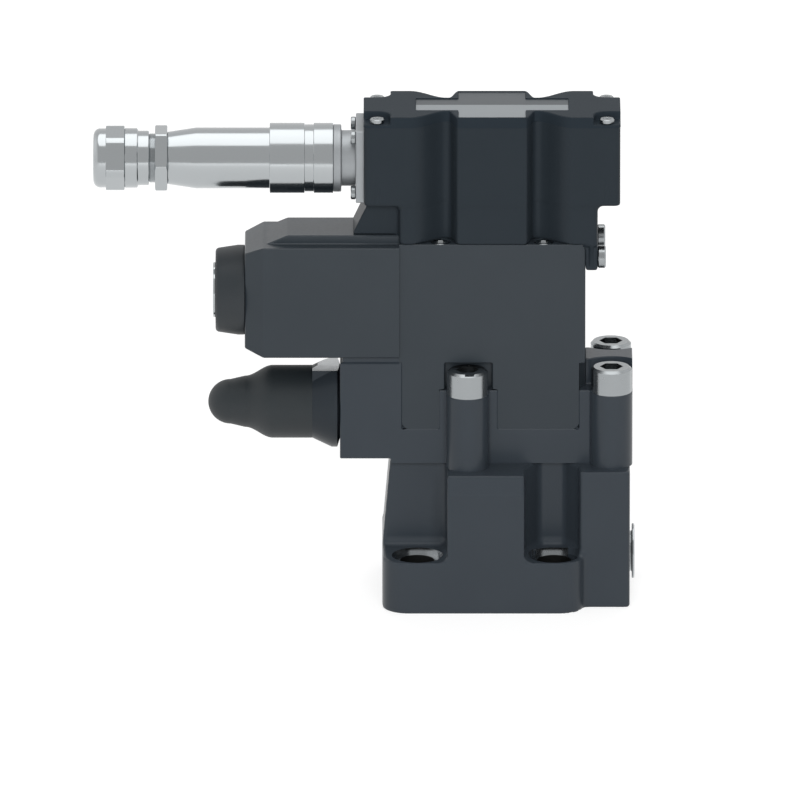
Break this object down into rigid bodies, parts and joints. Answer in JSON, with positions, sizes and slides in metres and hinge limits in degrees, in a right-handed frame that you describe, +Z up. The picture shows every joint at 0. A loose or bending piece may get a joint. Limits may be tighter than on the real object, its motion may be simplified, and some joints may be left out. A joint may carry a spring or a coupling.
{
  "type": "proportional pressure relief valve",
  "caption": "Pilot-operated proportional pressure relief valve for subplate mounting, with solenoid, onboard electronics, cable gland and a booted pressure limiter.",
  "frame": {"origin": "centre of the mounting hole pattern on the mounting face", "axes": "+X away from the solenoid, along the solenoid's axis; +Y towards the picture's far side; +Z up from the mounting face"},
  "size_m": [0.2128, 0.0754, 0.1989],
  "materials": {
    "main_casting": "semi-matt dark grey paint over a casting",
    "block_paint": "semi-matt dark grey paint",
    "cap_plastic": "moulded, fine grain",
    "collar_finish": "dark finish, bare on its flat",
    "housing_paint": "semi-matt dark grey paint over a casting",
    "screw_steel": "turned and plated",
    "stainless": "finely turned",
    "hardened_steel": "ground",
    "spring_steel": "drawn",
    "magnet_steel": "turned",
    "coil_winding": "wound wire, varnished",
    "jet_brass": "turned",
    "seal_rubber": "smooth",
    "boot_rubber": "moulded, matt",
    "plate_metal": "anodised, blank",
    "board_green": "lacquered board",
    "board_black": "moulded parts"
  },
  "bodies": {
    "valve_body": {"main_body": "main_casting", "cover_body": "main_casting", "pilot_block": "block_paint", "solenoid_housing": "block_paint", "solenoid_end_cap": "cap_plastic", "adjuster_collar": "collar_finish", "electronics_housing": "housing_paint", "housing_lid": "housing_paint", "cover_bolts": "screw_steel", "lid_screws": "screw_steel", "housing_screws": "screw_steel", "side_screws": "screw_steel", "flange_screws": "screw_steel", "entry_flange": "stainless", "entry_tube": "stainless", "entry_lock_nut": "stainless", "gland_body": "stainless", "gland_nut": "stainless", "gallery_plug": "stainless", "cap_plug": "stainless", "main_sleeve": "hardened_steel", "pilot_seat": "hardened_steel", "limiter_seat": "hardened_steel", "adjuster_lock_nut": "hardened_steel", "main_spring": "spring_steel", "armature_spring": "spring_steel", "limiter_spring": "spring_steel", "pole_piece": "magnet_steel", "armature_tube": "magnet_steel", "coil": "coil_winding", "pilot_orifice": "jet_brass", "port_seal_p": "seal_rubber", "port_seal_t": "seal_rubber", "port_seal_x": "seal_rubber", "cover_seal": "seal_rubber", "sleeve_seal": "seal_rubber", "lid_seal": "seal_rubber", "gland_seal": "seal_rubber", "nameplate": "plate_metal", "circuit_board": "board_green", "board_components": "board_black", "board_rails": "board_black"},
    "main_poppet": {"main_poppet": "hardened_steel"},
    "armature": {"armature": "magnet_steel", "push_pin": "hardened_steel", "pilot_needle": "hardened_steel"},
    "override_pin": {"override_pin": "hardened_steel"},
    "limiter_spring_seat": {"limiter_spring_seat": "hardened_steel"},
    "adjusting_screw": {"adjusting_screw": "hardened_steel"},
    "limiter_poppet": {"limiter_poppet": "hardened_steel"},
    "limiter_boot": {"limiter_boot": "boot_rubber"}
  },
  "joints": [
    {"name": "poppet_lift", "type": "slide", "parent": "valve_body", "child": "main_poppet", "axis": [0, 0, 1], "range_m": [0, 0.005], "stiffness_N_per_m": 2000, "springref_m": -0.002, "deforming": ["main_spring"]},
    {"name": "armature_travel", "type": "slide", "parent": "valve_body", "child": "armature", "axis": [1, 0, 0], "range_m": [0, 0.002], "stiffness_N_per_m": 400, "springref_m": -0.002, "deforming": ["armature_spring"]},
    {"name": "override_push", "type": "slide", "parent": "valve_body", "child": "override_pin", "axis": [1, 0, 0], "range_m": [0, 0.002]},
    {"name": "adjuster_travel", "type": "slide", "parent": "valve_body", "child": "limiter_spring_seat", "axis": [1, 0, 0], "range_m": [0, 0.004], "deforming": ["limiter_spring"]},
    {"name": "adjuster_turn", "type": "hinge", "parent": "limiter_spring_seat", "child": "adjusting_screw", "pos_m": [-0.08, 0, 0.0761], "axis": [1, 0, 0], "range_deg": [0, 1440]},
    {"name": "limiter_lift", "type": "slide", "parent": "valve_body", "child": "limiter_poppet", "axis": [-1, 0, 0], "range_m": [0, 0.001], "stiffness_N_per_m": 2000, "springref_m": -0.001, "deforming": ["limiter_spring"]},
    {"name": "boot_pull", "type": "slide", "parent": "valve_body", "child": "limiter_boot", "axis": [-1, 0, 0], "range_m": [0, 0.05]}
  ],
  "couplings": [
    {"joint": "override_push", "follows": "armature_travel", "ratio": 1},
    {"joint": "adjuster_travel", "follows": "adjuster_turn", "m_per_rad": 0.00015915}
  ]
}
